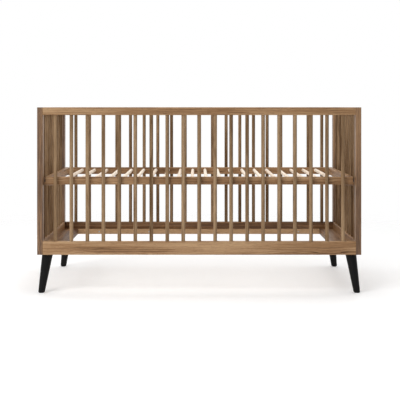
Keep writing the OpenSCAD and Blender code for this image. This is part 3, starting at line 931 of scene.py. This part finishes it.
class COT_OT_legs(Operator):
    """Round tapered legs that lean outwards"""

    bl_idname = "cot.legs"
    bl_label = "Legs"

    def execute(self, context):
        foot_radius = context.scene.cot_shape.foot
        for index, corner in enumerate(CORNERS):
            self.add_leg(corner, foot_radius, seed=60 + index)
        return {"FINISHED"}

    def add_leg(self, corner, rounding, seed):
        """A straight loft from the foot's circle to the top's, drawn in by a quarter circle round the foot.

        For t from 90 to 0 degrees, the circle stands r (1 - sin t) up and is smaller by r (1 - cos t).
        """
        node = f"{corner}_leg"
        foot, foot_radius = level_section(node, False)
        top, top_radius = level_section(node, True)
        t = np.linspace(np.pi / 2, 0, FOOT_STEPS)
        height = top[2] - foot[2]
        straight = np.linspace(rounding, height, LEG_RINGS + 1)[1:]
        rise = np.concatenate([rounding * (1 - np.sin(t)), straight])
        inset = np.concatenate([rounding * (1 - np.cos(t)), np.zeros(LEG_RINGS)])
        share = (rise / height)[:, None]
        centres = foot + share * (top - foot)
        radii = foot_radius + share[:, 0] * (top_radius - foot_radius) - inset
        points, quads, caps = lofted_surface(centres, radii, LEG_SIDES)
        mesh = mesh_from(f"{node}_turned", points, quads, caps)
        rng = np.random.default_rng(seed)
        store_attribute(mesh, "grain", "FLOAT_VECTOR", grain_rows(points - foot, 2, log_spot(rng)))
        add_piece(f"{node}_turned", mesh, black_paint(), BODY, [node])


class COT_OT_glides(Operator):
    """Plastic glides under the legs"""

    bl_idname = "cot.glides"
    bl_label = "Floor glides"

    def execute(self, context):
        for corner in CORNERS:
            self.add_glide(corner)
        return {"FINISHED"}

    def add_glide(self, corner):
        """A low dish: its radius grows as a quarter of an ellipse from the tread to the widest part."""
        node = f"{corner}_glide"
        low, high = node_box(node)
        leg_low, _ = node_box(f"{corner}_leg")
        centre = (low + high) / 2
        radius = (high[0] - low[0]) / 2
        thickness = leg_low[2] - low[2]
        t = np.linspace(0, np.pi / 2, FOOT_STEPS)
        rise = np.concatenate([0.6 * thickness * (1 - np.cos(t)), [thickness]])
        radii = np.concatenate([radius * (0.88 + 0.12 * np.sin(t)), [radius]])
        centres = np.stack([np.full(len(rise), centre[0]), np.full(len(rise), centre[1]), low[2] + rise], -1)
        points, quads, caps = lofted_surface(centres, radii, GLIDE_SIDES)
        mesh = mesh_from(f"{node}_moulded", points, quads, caps)
        add_piece(f"{node}_moulded", mesh, moulded_plastic(), BODY, [node])


class COT_OT_base_frame(Operator):
    """Four rails of the mattress base"""

    bl_idname = "cot.base_frame"
    bl_label = "Base rails"

    def execute(self, context):
        for index, side in enumerate(SIDES):
            tone = TONES_AND_PAINTED_LIGHT["base side rails"]
            wooden_copy(f"base_{side}_rail", 0, "stained_base", BASE, tone, seed=70 + index)
        for index, end in enumerate(ENDS):
            tone = TONES_AND_PAINTED_LIGHT["base end rails"]
            wooden_bar(f"base_{end}_rail", 1, "stained_base", BASE, tone, seed=74 + index)
        return {"FINISHED"}


class COT_OT_base_slats(Operator):
    """Pale round slats of the mattress base"""

    bl_idname = "cot.base_slats"
    bl_label = "Base slats"

    def execute(self, context):
        rod_group("base_slats", 1, 0, pale_wood(), BASE, TONES_AND_PAINTED_LIGHT["base slats"],
                  BASE_SLAT_SPREAD, seed=80)
        return {"FINISHED"}


# ---------- steel ----------


def steel_copy(node, material, body):
    """A steel piece with the shape of a CAD node and its edges broken."""
    shape = bpy.context.scene.cot_shape
    mesh = softened_copy(node, f"{node}_steel")
    piece = add_piece(f"{node}_steel", mesh, material, body, [node])
    round_edges(piece, shape.steel_soft)


class COT_OT_brackets(Operator):
    """Angle brackets that carry the mattress base"""

    bl_idname = "cot.brackets"
    bl_label = "Base brackets"

    def execute(self, context):
        for corner in CORNERS:
            steel_copy(f"{corner}_bracket", powder_coat(), BASE)
        return {"FINISHED"}


class COT_OT_fasteners(Operator):
    """Bolts, nuts, inserts, screws and dowels"""

    bl_idname = "cot.fasteners"
    bl_label = "Fasteners"

    def execute(self, context):
        for node in ("rail_bolts", "base_bolts", "barrel_nuts"):
            steel_copy(node, zinc(), BODY)
        steel_copy("base_nuts", black_oxide(), BODY)
        for node in ("leg_bolts", "leg_inserts", "batten_screws", "bracket_screws"):
            self.finish_node(node, zinc())
        for node in ("rail_dowels", "end_dowels", "board_dowels", "base_dowels"):
            self.finish_node(node, raw_beech())
        return {"FINISHED"}

    def finish_node(self, node, material):
        """Gives a CAD node that keeps its own mesh a material."""
        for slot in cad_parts[node].material_slots:
            slot.material = material


# ---------- add-on ----------

OPERATORS = (
    COT_OT_stage, COT_OT_posts, COT_OT_side_rails, COT_OT_end_rails, COT_OT_panel_slats,
    COT_OT_floor_boards, COT_OT_legs, COT_OT_glides, COT_OT_base_frame, COT_OT_base_slats,
    COT_OT_brackets, COT_OT_fasteners,
)
SETTINGS = {"cot_finish": CotFinish, "cot_shape": CotShape, "cot_studio": CotStudio}


class COT_PT_panel(Panel):
    """Settings and steps of the cot"""

    bl_idname = "COT_PT_panel"
    bl_label = "Cot"
    bl_space_type = "VIEW_3D"
    bl_region_type = "UI"
    bl_category = "Cot"

    def draw(self, context):
        for key, group in SETTINGS.items():
            column = self.layout.column(heading=group.__name__)
            for name in group.__annotations__:
                column.prop(getattr(context.scene, key), name)
        for operator in OPERATORS:
            self.layout.operator(operator.bl_idname)


def register():
    """Registers the settings, the operators and the panel."""
    for group in SETTINGS.values():
        bpy.utils.register_class(group)
    for key, group in SETTINGS.items():
        setattr(bpy.types.Scene, key, PointerProperty(type=group))
    for item in (*OPERATORS, COT_PT_panel):
        bpy.utils.register_class(item)


def unregister():
    """Takes the panel, the operators and the settings away again."""
    for item in (COT_PT_panel, *reversed(OPERATORS)):
        bpy.utils.unregister_class(item)
    for key, group in SETTINGS.items():
        delattr(bpy.types.Scene, key)
        bpy.utils.unregister_class(group)


def main():
    """Builds the stage and every piece."""
    register()
    for operator in OPERATORS:
        category, name = operator.bl_idname.split(".")
        getattr(getattr(bpy.ops, category), name)()


if __name__ == "__main__":
    main()
